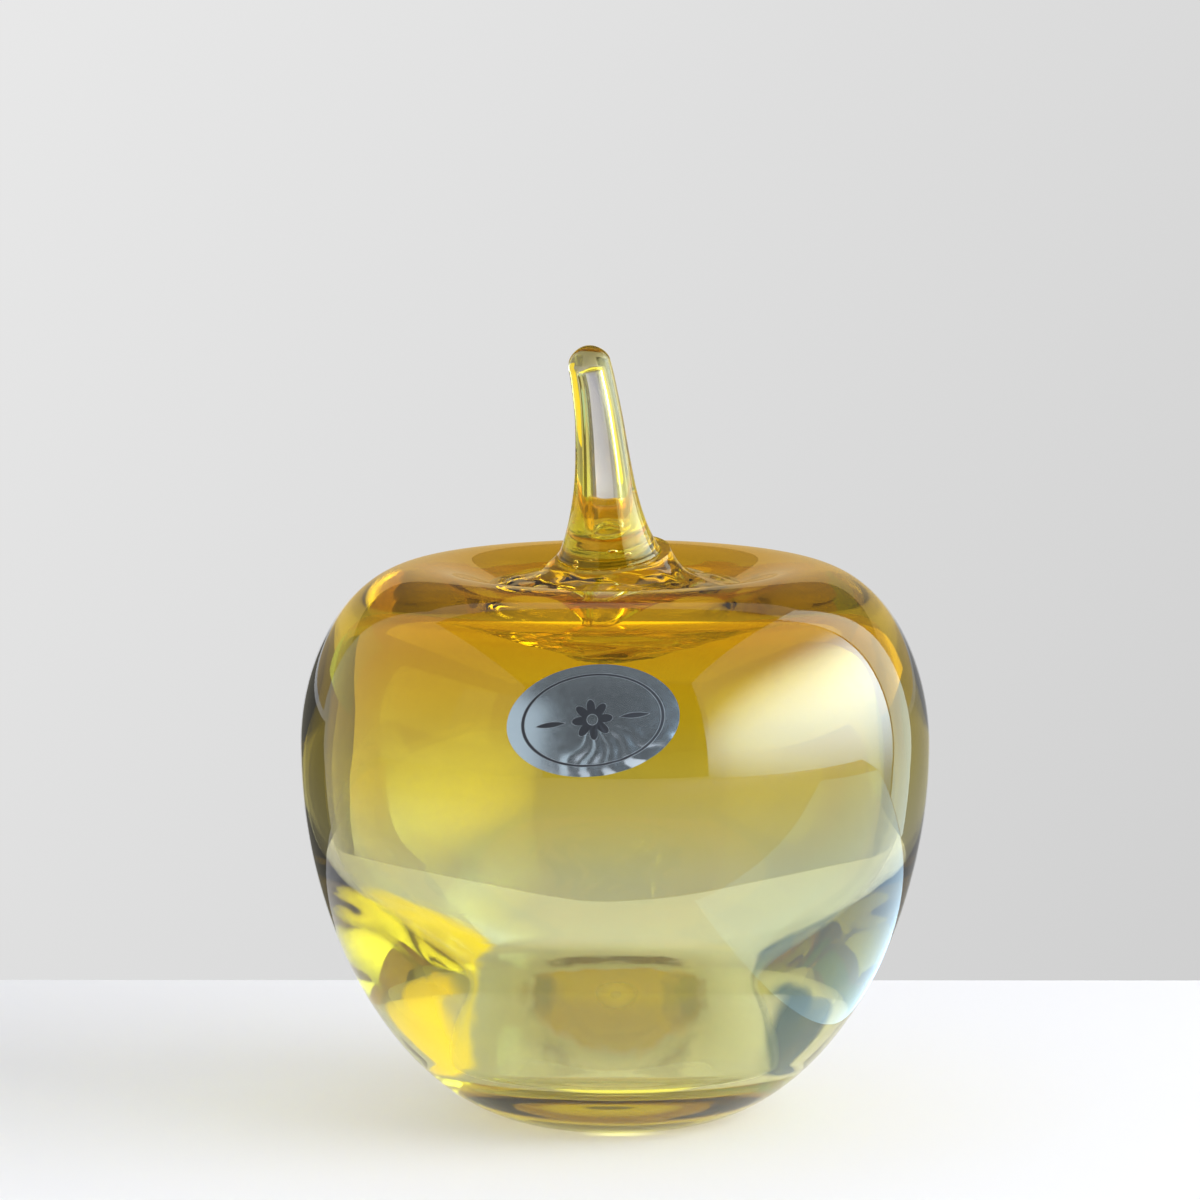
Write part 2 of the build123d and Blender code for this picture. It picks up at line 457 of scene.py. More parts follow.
def make_body():
    """The hollow apple: up its outside, down the dimple and round the cavity to the middle of its floor."""
    skin = Skin(ROUND)
    skin.add_pole((0.0, 0.0, PONTIL_DEPTH))
    for step in range(1, PONTIL_RINGS + 1):
        radius = PONTIL_RADIUS * step / PONTIL_RINGS
        skin.add_ring(turned(radius, PONTIL_DEPTH * (1 - (radius / PONTIL_RADIUS) ** 2)))
    for radius in (PONTIL_RADIUS + 0.4, (PONTIL_RADIUS + FOOT_RADIUS) / 2, FOOT_RADIUS):
        skin.add_ring(turned(radius, 0.0))
    outside = bezier_run(LOWER_BELLY, 0.0, 1.0, BELLY_RINGS)
    outside += bezier_run(SHOULDER, 0.0, 1.0, SHOULDER_RINGS)
    for radius, height in outside:
        skin.add_ring(outer_wave(turned(radius, height)))
    meets = bezier_share(DIMPLE, SKIRT_MEETS, 0)
    for radius, height in bezier_run(DIMPLE, 0.0, meets, DIMPLE_RINGS):
        skin.add_ring(turned(radius, height))
    for radius, height in bezier_run(DIMPLE, meets, 1.0, JOINT_RINGS):
        skin.add_ring(turned(radius, height), fused=True, sharp=radius < NECK_RADIUS + NEAR)
    skin.add_ring(turned(NECK_RADIUS, NECK_HEIGHT - NECK_WALL), fused=True, sharp=True)
    bead = bezier_share(NECK_UNDERSIDE, BEAD_MEETS, 0)
    for radius, height in bezier_run(NECK_UNDERSIDE, 0.0, bead, BEAD_JOINT_RINGS):
        skin.add_ring(rippled(radius, height), fused=True, sharp=abs(radius - BEAD_MEETS) < NEAR)
    for radius, height in bezier_run(NECK_UNDERSIDE, bead, 1.0, FUNNEL_RINGS):
        skin.add_ring(rippled(radius, height))
    cavity = bezier_run(CAVITY_SHOULDER, 0.0, 1.0, SHOULDER_RINGS)
    cavity += bezier_run(CAVITY_WALL, 0.0, 1.0, BELLY_RINGS)
    cavity += bezier_run(CAVITY_FLOOR, 0.0, 1.0, FLOOR_RINGS)[:-1]
    for radius, height in cavity:
        skin.add_ring(inner_wave(turned(radius, height)))
    skin.add_pole((0.0, 0.0, BASE_WALL + waves(INNER_WAVES[:1], 0, 0, BASE_WALL)))
    return skin


SEAT_X = SEAT_TURN @ Vector((1, 0, 0))
SEAT_Y = SEAT_TURN @ Vector((0, 1, 0))
SEAT_NORMAL = SEAT_TURN @ Vector((0, 0, 1))


def on_seat(radius, turn):
    """A step across the seat from its middle."""
    return radius * (SEAT_X * cos(turn) + SEAT_Y * sin(turn))


def above_seat(point):
    """How far a point is above the seat's plane."""
    return (Vector(point) - SEAT).dot(SEAT_NORMAL)


def skirt_stop(angle):
    """The share of the skirt's curve at which it meets the tilted seat, at an angle round the axis."""

    def is_under(share):
        radius, height = bezier(SKIRT, share)
        return above_seat((radius * cos(angle), radius * sin(angle), height)) < 0

    return halve(SKIRT_START, 1.0, is_under, 40)[0]


def skirt_ripple(x, y, z, share):
    """How far the skirt's surface rises, in millimetres, fading out at both of its edges."""
    fade = min(1.0, 5 * share) * min(1.0, 6 * (1 - share))
    return fade * waves(SKIRT_WAVES, x, y, z)


def make_seal():
    """The seal: up from its bead through the neck, out under the skirt and over the skirt to the seat."""
    skin = Skin(ROUND)
    skin.add_pole((0.0, 0.0, BEAD_BOTTOM + funnel_ripple(0, 0)))
    for step in range(1, BEAD_RINGS + 1):
        radius = BEAD_MEETS * step / BEAD_RINGS
        skin.add_ring(rippled(radius, bead_height(radius)), sharp=step == BEAD_RINGS)
    plug_radius = NECK_RADIUS - FUSED_GAP
    for step in range(1, BEAD_JOINT_RINGS + 1):
        radius = BEAD_MEETS + (plug_radius - BEAD_MEETS) * step / BEAD_JOINT_RINGS
        height = height_on(NECK_UNDERSIDE, max(radius, NECK_RADIUS)) - FUSED_GAP
        skin.add_ring(rippled(radius, height), fused=True, sharp=step == BEAD_JOINT_RINGS)
    skin.add_ring(turned(plug_radius, NECK_HEIGHT + FUSED_GAP), fused=True, sharp=True)
    meets = bezier_share(DIMPLE, SKIRT_MEETS, 0)
    for radius, height in bezier_run(DIMPLE, 1.0, meets, JOINT_RINGS):
        sharp = abs(radius - SKIRT_MEETS) < NEAR
        skin.add_ring(turned(radius, height + FUSED_GAP), fused=True, sharp=sharp)
    stops = [skirt_stop(a) for a in ANGLES]
    for step in range(1, SKIRT_RINGS + 1):
        part = step / SKIRT_RINGS
        ring = []
        for angle, stop in zip(ANGLES, stops):
            radius, height = bezier(SKIRT, SKIRT_START + (stop - SKIRT_START) * part)
            x, y = radius * cos(angle), radius * sin(angle)
            lift = skirt_ripple(x, y, height, part)
            aside = lift * SKIRT_LEAN
            ring.append((x + aside * cos(angle), y + aside * sin(angle), height + lift))
        skin.add_ring(ring, sharp=step == SKIRT_RINGS)
    foot = [SEAT + on_seat(STEM_ROOT, a) for a in ANGLES]
    skin.add_ring([tuple(p) for p in foot])
    for part in (0.66, 0.33):
        skin.add_ring([tuple(SEAT + (p - SEAT) * part) for p in foot], fused=True)
    skin.add_pole(tuple(SEAT), fused=True)
    add_seeds(skin)
    return skin


def add_seeds(skin):
    """Small round bubbles left in the seal, close under the stem's foot."""
    for _ in range(SEED_COUNT):
        angle = random.uniform(0, 2 * pi)
        reach = random.uniform(*SEED_REACH)
        depth = random.uniform(*SEED_DEPTH)
        centre = SEAT + on_seat(reach, angle) - SEAT_NORMAL * depth
        add_bubble(skin, centre, random.uniform(*SEED_SIZE))


def add_bubble(skin, centre, size):
    """A round bubble, with its faces turned inwards."""
    first = len(skin.points)
    skin.points.append(tuple(centre - Vector((0, 0, size))))
    for row in range(1, BUBBLE_RINGS):
        tilt = pi * row / BUBBLE_RINGS
        for i in range(BUBBLE_AROUND):
            turn = 2 * pi * i / BUBBLE_AROUND
            offset = Vector((sin(tilt) * cos(turn), sin(tilt) * sin(turn), -cos(tilt))) * size
            skin.points.append(tuple(centre + offset))
    skin.points.append(tuple(centre + Vector((0, 0, size))))
    faces = cap_faces(first, first + 1, BUBBLE_AROUND, True)
    for row in range(BUBBLE_RINGS - 2):
        start = first + 1 + row * BUBBLE_AROUND
        faces += ring_faces(start, start + BUBBLE_AROUND, BUBBLE_AROUND, True)
    last_ring = first + 1 + (BUBBLE_RINGS - 2) * BUBBLE_AROUND
    faces += cap_faces(len(skin.points) - 1, last_ring, BUBBLE_AROUND, False)
    skin.add_faces(faces, False)


STEM_DIRECTION = Vector((-sin(STEM_TIP_LEAN), 0, cos(STEM_TIP_LEAN)))
SPINE = (SEAT, SEAT + SEAT_NORMAL * STEM_BEND, STEM_END - STEM_DIRECTION * STEM_BEND, STEM_END)
STEM_TURNS = [2 * pi * i / STEM_AROUND for i in range(STEM_AROUND)]


def spine_ring(share):
    """The centre of the stem at a share of its spine, the direction ahead and those outwards all round."""
    centre = Vector(bezier(SPINE, share))
    after = Vector(bezier(SPINE, min(1.0, share + SPINE_NUDGE)))
    before = Vector(bezier(SPINE, max(0.0, share - SPINE_NUDGE)))
    ahead = (after - before).normalized()
    across = Vector((0, 1, 0)).cross(ahead).normalized()
    along = ahead.cross(across)
    return centre, ahead, [across * cos(t) + along * sin(t) for t in STEM_TURNS]


def stem_radius(distance):
    """The stem's radius at a distance from its seat."""
    return STEM_TIP + (STEM_ROOT - STEM_TIP) * exp(-distance / STEM_FLARE)


def painted_side_light_share(turn):
    """1 at the sides of the stem, where yellow light is painted into its glass, and 0 at its front and back.
    """
    starts = SIDE_LIGHT_STARTS_FRONT if sin(turn) < 0 else SIDE_LIGHT_STARTS_BACK
    share = min(max((abs(cos(turn)) - starts) / SIDE_LIGHT_BLEND, 0.0), 1.0)
    strength = 1.0 if cos(turn) < 0 else RIGHT_SIDE_LIGHT
    return strength * share * share * (3 - 2 * share)


def make_stem():
    """The stem: its flat foot, its side up to the knob, and the bubble in it."""
    skin = Skin(STEM_AROUND)
    places = [Vector(bezier(SPINE, i / SPINE_STEPS)) for i in range(SPINE_STEPS + 1)]
    length = sum((after - before).length for before, after in zip(places, places[1:]))
    lifted = SEAT + SEAT_NORMAL * FUSED_GAP
    skin.add_pole(tuple(lifted))
    for part in (0.33, 0.66, 0.985):
        ring = [tuple(lifted + on_seat(STEM_ROOT * part, t)) for t in STEM_TURNS]
        skin.add_ring(ring, fused=True, sharp=part > 0.9)
    # The stem's sides carry painted yellow light
    streaks = [painted_side_light_share(t) for t in STEM_TURNS]
    for step in range(1, STEM_RINGS + 1):
        share = step / STEM_RINGS
        centre, _, outwards = spine_ring(share)
        radius = STEM_ROOT if step == 1 else stem_radius(share * length)
        ring = []
        for outward in outwards:
            point = centre + radius * outward
            ring.append(tuple(point + waves(STEM_WAVES, *point) * outward))
        skin.add_ring(ring)
        skin.streaks.update({skin.last + i: painted_side_light for i, painted_side_light in enumerate(streaks)})
    centre, ahead, outwards = spine_ring(1.0)
    for step in range(1, KNOB_RINGS):
        tilt = pi / 2 * step / KNOB_RINGS
        ring = []
        for outward in outwards:
            point = centre + STEM_KNOB * (cos(tilt) * outward + sin(tilt) * KNOB_HEIGHT * ahead)
            ring.append(tuple(point + waves(KNOB_WAVES, *point) * outward))
        skin.add_ring(ring)
    skin.add_pole(tuple(centre + STEM_KNOB * KNOB_HEIGHT * ahead))
    add_core(skin, length)
    return skin


def add_core(skin, length):
    """The long bubble that was drawn out with the stem."""
    skin.restart()
    skin.flip = True
    low, high = CORE_SPAN
    for row in range(CORE_RINGS + 1):
        part = row / CORE_RINGS
        share = low + (high - low) * part
        centre, _, outwards = spine_ring(share)
        if row in (0, CORE_RINGS):
            skin.add_pole(tuple(centre))
            continue
        root = sqrt(1 - max(0.0, 1 - part / CORE_ROUND[0]) ** 2)
        tip = sqrt(1 - max(0.0, 1 - (1 - part) / CORE_ROUND[1]) ** 2)
        widening = min(max((CORE_WIDENS_BELOW - share * length) / CORE_WIDENS_OVER, 0.0), 1.0)
        radius = (CORE_RADIUS + CORE_WIDENING * widening) * min(root, tip)
        skin.add_ring([tuple(centre + radius * outward) for outward in outwards])


OUTSIDE = bezier_run(LOWER_BELLY, 0.0, 1.0, CURVE_STEPS) + bezier_run(SHOULDER, 0.0, 1.0, CURVE_STEPS)
OUTSIDE_HEIGHTS = [height for _, height in OUTSIDE]


def shoulder_radius(height):
    """The radius of the body's outside at a height."""
    index = min(max(bisect_left(OUTSIDE_HEIGHTS, height), 1), len(OUTSIDE) - 1)
    (r0, z0), (r1, z1) = OUTSIDE[index - 1], OUTSIDE[index]
    return r0 + (r1 - r0) * min(max((height - z0) / (z1 - z0), 0.0), 1.0)


def make_label():
    """The foil: an oval sheet laid on the shoulder, with a front, a back and a rim."""
    radius = shoulder_radius(LABEL_Z)
    centre = Vector((LABEL_X, -sqrt(radius**2 - LABEL_X**2), LABEL_Z))
    slope = shoulder_radius(LABEL_Z + 0.5) - shoulder_radius(LABEL_Z - 0.5)
    normal = Vector((centre.x / radius, centre.y / radius, -slope)).normalized()
    right = Vector((0, 0, 1)).cross(normal).normalized()
    up = normal.cross(right)
    rows, around = LABEL_RINGS, LABEL_AROUND
    fronts = [(0.0, 0.0)]
    for row in range(1, rows + 1):
        part = row / rows
        for i in range(around):
            turn = 2 * pi * i / around
            fronts.append((part * LABEL_WIDTH / 2 * cos(turn), part * LABEL_HEIGHT / 2 * sin(turn)))

    def on_glass(u, v, lift):
        """The point at a height over the glass, from a place on the flat label."""
        along = u * cos(LABEL_TURN) - v * sin(LABEL_TURN)
        above = u * sin(LABEL_TURN) + v * cos(LABEL_TURN)
        start = centre + right * along + up * above

        def is_inside(depth):
            point = start + normal * depth
            return hypot(point.x, point.y) < shoulder_radius(min(point.z, CREST_HEIGHT - 0.01))

        return tuple(start + normal * (halve(*LABEL_SEARCH, is_inside, 30)[0] + lift))

    points = [on_glass(u, v, LABEL_THICKNESS + LABEL_GAP + foil_crease(u, v)) for u, v in fronts]
    count = len(points)
    points += [on_glass(u, v, LABEL_GAP) for u, v in fronts]
    faces = []
    for i in range(around):
        j = (i + 1) % around
        faces.append((0, 1 + i, 1 + j))
        faces.append((count, count + 1 + j, count + 1 + i))
    for row in range(rows - 1):
        for i in range(around):
            j = (i + 1) % around
            a, b = 1 + row * around, 1 + (row + 1) * around
            faces.append((a + i, b + i, b + j, a + j))
            faces.append((count + a + j, count + b + j, count + b + i, count + a + i))
    rim = 1 + (rows - 1) * around
    sharp = []
    for i in range(around):
        j = (i + 1) % around
        faces.append((rim + i, count + rim + i, count + rim + j, rim + j))
        sharp.append((rim + i, rim + j))
        sharp.append((count + rim + i, count + rim + j))
    piece = add_mesh("foil_label", points, faces, sharp_pairs=sharp)
    layer = piece.data.uv_layers.new(name="foil")
    flat = fronts + fronts
    for loop in piece.data.loops:
        u, v = flat[loop.vertex_index]
        layer.data[loop.index].uv = (0.5 + u / LABEL_WIDTH, 0.5 + v / LABEL_WIDTH)
    return piece


def foil_crease(u, v):
    """How far the foil stands off the glass along the folds that fan out to its lower edge."""
    across, above = u - FOLD_START[0], v - FOLD_START[1]
    reach = hypot(across, above)
    angle = atan2(above, across) + FOLD_WAVER * sin(reach)
    opening = min(max((angle - FOLD_FAN[0]) / FOLD_SOFT, 0.0), 1.0)
    closing = min(max((FOLD_FAN[1] - angle) / FOLD_SOFT, 0.0), 1.0)
    fold = abs((angle / FOLD_ANGLE) % 1.0 - 0.5) * 2.0
    return FOLD_HEIGHT * opening * closing * fold * min(reach / FOLD_REACH, 1.0)


blown_body = make_body().make("blown_body_glass")
neck_seal = make_seal().make("neck_seal_glass")
stem = make_stem().make("stem_glass")
foil_label = make_label()


class Sums:
    """Short ways to add the nodes of one material or world."""

    def __init__(self, owner):
        self.nodes = owner.node_tree.nodes
        self.links = owner.node_tree.links

    def step(self, operation, *values):
        """One sum of numbers and sockets."""
        node = self.nodes.new("ShaderNodeMath")
        node.operation = operation
        for socket, value in zip(node.inputs, values):
            if isinstance(value, (int, float)):
                socket.default_value = value
            else:
                self.links.new(value, socket)
        return node.outputs["Value"]

    def between(self, value, low, high, soft):
        """1 where a value lies between two levels, with soft ends."""
        enter = self.ramp(value, low - soft, low + soft, 0.0, 1.0)
        leave = self.ramp(value, high - soft, high + soft, 1.0, 0.0)
        return self.step("MULTIPLY", enter, leave)

    def ramp(self, value, low, high, first, last):
        """A smooth change from a first number to a last one as a value goes from low to high."""
        node = self.nodes.new("ShaderNodeMapRange")
        node.interpolation_type = "SMOOTHSTEP"
        for name, level in zip(("From Min", "From Max", "To Min", "To Max"), (low, high, first, last)):
            node.inputs[name].default_value = level
        self.links.new(value, node.inputs["Value"])
        return node.outputs["Result"]

    def axes(self, vector):
        """The three coordinates of a vector."""
        node = self.nodes.new("ShaderNodeSeparateXYZ")
        self.links.new(vector, node.inputs["Vector"])
        return node.outputs["X"], node.outputs["Y"], node.outputs["Z"]

    def length(self, across, along):
        """How far a place is from the middle, from its distances across and along."""
        squares = [self.step("MULTIPLY", side, side) for side in (across, along)]
        return self.step("SQRT", self.step("ADD", *squares))

    def grain(self, place, scale, detail):
        """A soft random pattern."""
        node = self.nodes.new("ShaderNodeTexNoise")
        node.inputs["Scale"].default_value = scale
        node.inputs["Detail"].default_value = detail
        self.links.new(place, node.inputs["Vector"])
        return node.outputs["Fac"]

    def mark(self, name):
        """A number that the mesh carries."""
        node = self.nodes.new("ShaderNodeAttribute")
        node.attribute_name = name
        return node.outputs["Fac"]

    def mix(self, share, first, second):
        """A colour between two others, each of them a plain colour or a socket."""
        node = self.nodes.new("ShaderNodeMix")
        node.data_type = "RGBA"
        self.links.new(share, node.inputs["Factor"])
        for name, colour in (("A", first), ("B", second)):
            if isinstance(colour, tuple):
                node.inputs[name].default_value = (*colour, 1.0)
            else:
                self.links.new(colour, node.inputs[name])
        return node.outputs["Result"]


def new_material(name):
    """A material and the short ways to add its nodes."""
    material = bpy.data.materials.new(name)
    material.use_nodes = True
    return material, Sums(material)


BODY_STOPS = (
    (0.0, (0.93, 0.94, 0.80)),
    (30.0, (0.90, 0.97, 0.93)),
    (45.0, (0.80, 0.77, 0.56)),
    (52.0, (0.82, 0.75, 0.35)),
    (60.0, (0.86, 0.725, 0.14)),
    (72.0, (0.835, 0.625, 0.045)),
    (84.0, (0.82, 0.555, 0.022)),
    (90.0, (0.84, 0.44, 0.008)),
)
SEAL_STOPS = (
    (74.0, (0.80, 0.52, 0.05)),
    (86.0, (0.79, 0.46, 0.035)),
    (94.0, (0.83, 0.55, 0.12)),
)
# The dark brown at 90 to 92.5 mm is painted shade where the stem's foot sits in the seal
STEM_STOPS = (
    (90.0, (0.46, 0.30, 0.11)),
    (92.5, (0.56, 0.40, 0.17)),
    (94.0, (0.96, 0.91, 0.66)),
    (97.0, (0.98, 0.96, 0.90)),
    (104.0, (0.98, 0.97, 0.96)),
    (110.0, (0.85, 0.84, 0.85)),
    (121.5, (0.78, 0.77, 0.80)),
    (123.5, (0.56, 0.49, 0.20)),
    (126.5, (0.50, 0.43, 0.16)),
)
# Painted yellow light on the stem's sides, by height; the dark brown at 90 to 92.5 mm is painted shade at the
# stem's foot
PAINTED_SIDE_LIGHT_STOPS = (
    (90.0, (0.46, 0.30, 0.09)),
    (92.5, (0.54, 0.38, 0.12)),
    (94.0, (0.98, 0.87, 0.05)),
    (104.0, (0.98, 0.87, 0.03)),
    (107.5, (0.74, 0.61, 0.04)),
    (124.0, (0.62, 0.51, 0.07)),
)
ABSORBS = (0.72, 0.66, 0.0)
DENSITY = 45.0
STEM_DENSITY = 20.0
STEM_GLEAM = (0.9, 0.75, 0.3)
# The painted pool on the hollow's floor: painted amber light, with a painted shadow behind it and painted
# shade at its ends
POOL_HALF = (17.5, 6.3)
POOL_UNEVEN = 0.7
PAINTED_AMBER_LIGHT = (0.92, 0.50, 0.003)
POOL_GRAIN = 240.0
POOL_FADE = (0.72, 1.08)
EDGE_BAND = (9.5, 15.5)
EDGE_BEND = 0.030
PAINTED_SHADOW_EDGE = (0.13, 0.09, 0.03)
EDGE_SOFT = 1.6
EDGE_RAGGED = 8.0
EDGE_FADE = (9.0, 15.0)
ENDS_BAND = (10.5, 16.5)
PAINTED_SHADE_ENDS = (0.27, 0.21, 0.045)
ENDS_SOFT = 2.0
ENDS_RAGGED = 13.0
ENDS_FADE = (1.2, 4.5)
FLOOR_REACH = (3.0, 4.0)


def painted_floor_light_and_shade(sums, place, axes, plain):
    """Painted light and shade on the floor of the hollow: a pool of painted amber light, a painted shadow
    behind it and painted shade at its ends.
    """
    x, y, z = (sums.step("DIVIDE", side, MM) for side in axes)
    uneven = sums.step("MULTIPLY_ADD", sums.grain(place, POOL_GRAIN, 2.0), POOL_UNEVEN, -POOL_UNEVEN / 2)
    reach = sums.length(sums.step("DIVIDE", x, POOL_HALF[0]), sums.step("DIVIDE", y, POOL_HALF[1]))
    painted_pool = sums.ramp(sums.step("ADD", reach, uneven), *POOL_FADE, 1.0, 0.0)
    bent = sums.step("MULTIPLY_ADD", sums.step("MULTIPLY", x, x), EDGE_BEND, y)
    edge = sums.between(sums.step("MULTIPLY_ADD", uneven, EDGE_RAGGED, bent), *EDGE_BAND, EDGE_SOFT)
    aside = sums.step("MULTIPLY_ADD", uneven, ENDS_RAGGED, sums.step("ABSOLUTE", x))
    edge = sums.step("MULTIPLY", edge, sums.ramp(aside, *EDGE_FADE, 1.0, 0.0))
    ends = sums.between(aside, *ENDS_BAND, ENDS_SOFT)
    ends = sums.step("MULTIPLY", ends, sums.ramp(sums.step("ABSOLUTE", y), *ENDS_FADE, 1.0, 0.0))
    near = sums.ramp(reach, *FLOOR_REACH, 1.0, 0.0)
    floor = sums.step("MULTIPLY", sums.between(z, BASE_WALL / 2, 2 * BASE_WALL, 1.0), near)
    colour = plain
    # Painted amber light, painted shadow and painted shade, laid over the glass's own tint
    for mask, tint in ((painted_pool, PAINTED_AMBER_LIGHT), (edge, PAINTED_SHADOW_EDGE), (ends, PAINTED_SHADE_ENDS)):
        colour = sums.mix(sums.step("MULTIPLY", mask, floor), colour, tint)
    return colour


def stop_ramp(sums, height, stops):
    """A tint that changes with height, from (height in millimetres, colour) stops."""
    low, high = stops[0][0], stops[-1][0]
    span = sums.nodes.new("ShaderNodeMapRange")
    span.inputs["From Min"].default_value = low * MM
    span.inputs["From Max"].default_value = high * MM
    sums.links.new(height, span.inputs["Value"])
    ramp = sums.nodes.new("ShaderNodeValToRGB")
    while len(ramp.color_ramp.elements) < len(stops):
        ramp.color_ramp.elements.new(0.5)
    for element, (level, colour) in zip(ramp.color_ramp.elements, stops):
        element.position = (level - low) / (high - low)
        element.color = (*colour, 1.0)
    sums.links.new(span.outputs["Result"], ramp.inputs["Fac"])
    return ramp.outputs["Color"]


def glass_material(name, stops, density, painted_pool=False, painted_side_light_stops=None, gleam=WHITE):
    """Clear glass whose tint changes with height, takes up light along its thickness and can carry painted
    light and shade.
    """
    material, sums = new_material(name)
    shader = sums.nodes["Principled BSDF"]
    shader.inputs["Transmission Weight"].default_value = 1.0
    shader.inputs["Roughness"].default_value = 0.0
    shader.inputs["IOR"].default_value = GLASS_IOR
    shader.inputs["Specular Tint"].default_value = (*gleam, 1.0)
    place = sums.nodes.new("ShaderNodeTexCoord").outputs["Object"]
    axes = sums.axes(place)
    colour = stop_ramp(sums, axes[2], stops)
    # The hollow's floor carries painted amber light and painted shadow
    if painted_pool:
        colour = painted_floor_light_and_shade(sums, place, axes, colour)
    # Painted side light over the stem's tint
    if painted_side_light_stops:
        colour = sums.mix(sums.mark("painted_side_light"), colour, stop_ramp(sums, axes[2], painted_side_light_stops))
    fused = sums.mark("fused")
    sums.links.new(sums.mix(fused, colour, WHITE), shader.inputs["Base Color"])
    bend = sums.nodes.new("ShaderNodeMapRange")
    bend.inputs["To Min"].default_value = GLASS_IOR
    bend.inputs["To Max"].default_value = 1.0
    sums.links.new(fused, bend.inputs["Value"])
    sums.links.new(bend.outputs["Result"], shader.inputs["IOR"])
    volume = sums.nodes.new("ShaderNodeVolumeAbsorption")
    volume.inputs["Color"].default_value = (*ABSORBS, 1.0)
    volume.inputs["Density"].default_value = density
    sums.links.new(volume.outputs["Volume"], sums.nodes["Material Output"].inputs["Volume"])
    return material


stem_looks = {"painted_side_light_stops": PAINTED_SIDE_LIGHT_STOPS, "gleam": STEM_GLEAM}
# The body's glass carries the painted light and shade of the hollow's floor
blown_body.data.materials.append(glass_material("amber_body_glass", BODY_STOPS, DENSITY, painted_pool=True))
neck_seal.data.materials.append(glass_material("amber_seal_glass", SEAL_STOPS, DENSITY))
stem.data.materials.append(glass_material("straw_stem_glass", STEM_STOPS, STEM_DENSITY, **stem_looks))

# The foil's colours, and its printed ornament in millimetres
SILVERS = ((0.52, 0.60, 0.66), (0.60, 0.68, 0.74))
INK = (0.022, 0.025, 0.032)
INK_ROUGHNESS = 0.25
FOIL_GRAIN = 24.0
FOIL_ROUGHNESS = (0.20, 0.24)
OVAL_LINE = (0.79, 0.83)
OVAL_SOFT = 0.008
PETAL_WAVES = 4.0
PETAL_LENGTH = 1.5
ROSETTE_RADIUS = 1.7
ROSETTE_EYE = (0.75, 0.95)
ROSETTE_SOFT = 0.08
RULE_MIDDLE = 6.6
RULE_HALF = 0.42
RULE_TAPER = 0.075
RULE_SOFT = 0.06


def foil_print(sums, u, v):
    """A plain printed ornament: an oval line, a rosette and a tapered rule each side of it."""
    oval = sums.length(sums.step("DIVIDE", u, LABEL_WIDTH / 2), sums.step("DIVIDE", v, LABEL_HEIGHT / 2))
    line = sums.between(oval, *OVAL_LINE, OVAL_SOFT)
    reach = sums.length(u, v)
    turn = sums.step("MULTIPLY", sums.step("ARCTAN2", v, u), PETAL_WAVES)
    petals = sums.step("ABSOLUTE", sums.step("COSINE", turn))
    edge = sums.step("SUBTRACT", reach, sums.step("MULTIPLY_ADD", petals, PETAL_LENGTH, ROSETTE_RADIUS))
    eye = sums.ramp(reach, *ROSETTE_EYE, 0.0, 1.0)
    rosette = sums.step("MULTIPLY", sums.ramp(edge, -ROSETTE_SOFT, ROSETTE_SOFT, 1.0, 0.0), eye)
    along = sums.step("SUBTRACT", sums.step("ABSOLUTE", u), RULE_MIDDLE)
    taper = sums.step("MULTIPLY", sums.step("MULTIPLY", along, along), RULE_TAPER)
    above = sums.step("SUBTRACT", sums.step("ABSOLUTE", v), sums.step("SUBTRACT", RULE_HALF, taper))
    rule = sums.ramp(above, -RULE_SOFT, RULE_SOFT, 1.0, 0.0)
    return sums.step("MAXIMUM", line, sums.step("MAXIMUM", rosette, rule))


def foil_material():
    """Thin silver foil with a faint roll grain, printed in dark ink."""
    material, sums = new_material("silver_foil")
    shader = sums.nodes["Principled BSDF"]
    layout = sums.nodes.new("ShaderNodeUVMap")
    layout.uv_map = "foil"
    place = layout.outputs["UV"]
    sides = sums.axes(place)[:2]
    u, v = (sums.step("MULTIPLY", sums.step("SUBTRACT", side, 0.5), LABEL_WIDTH) for side in sides)
    ink = foil_print(sums, u, v)
    grain = sums.grain(place, FOIL_GRAIN, 2.0)
    sums.links.new(sums.mix(ink, sums.mix(grain, *SILVERS), INK), shader.inputs["Base Color"])
    sums.links.new(sums.step("MULTIPLY_ADD", ink, -FOIL_SHINE, FOIL_SHINE), shader.inputs["Metallic"])
    sheen = sums.ramp(grain, 0.3, 0.7, *FOIL_ROUGHNESS)
    sums.links.new(sums.step("MULTIPLY_ADD", ink, INK_ROUGHNESS, sheen), shader.inputs["Roughness"])
    return material


foil_label.data.materials.append(foil_material())

for piece, node, slot_name in (
    (blown_body, "blown_body", "body_glass"),
    (neck_seal, "neck_seal", "seal_glass"),
    (stem, "stem", "stem_glass"),
    (foil_label, "foil_label", "label_foil"),
):
    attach(piece, "root")
    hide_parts(node)

# Stage, in metres: a white table with a straight back edge, cards for reflections, soft lamps and a pale wall
TABLE_HALF = 1.6
TABLE_FRONT = -2.0
TABLE_BACK = 0.110
TABLE_THICK = 0.03
TABLE_GAP = 0.00005
TABLE_COLOUR = (0.855, 0.86, 0.89)
WINDOW_HOT = (0.25, -0.19, 1.6, 0.50, 0.07)
PATCH_MARGIN = 1.6
PATCH_LIFT = 0.0004
PATCH_GRAIN = 90.0
PATCH_FADE = (0.70, 1.05)
KEY_PLACE = (0.95, -0.35, 0.42)
KEY_AIM = (0.0, 0.0, 0.03)
KEY_SIZE = (1.0, 0.7)
KEY_COLOUR = (0.96, 0.98, 1.0)
WALL_SLOPE = (-0.60, 0.0, 0.50)
WALL_LEVEL = 0.78
WALL_RANGE = (0.55, 0.85)
WALL_FALL = (0.0, 0.50, 1.0, 0.70)

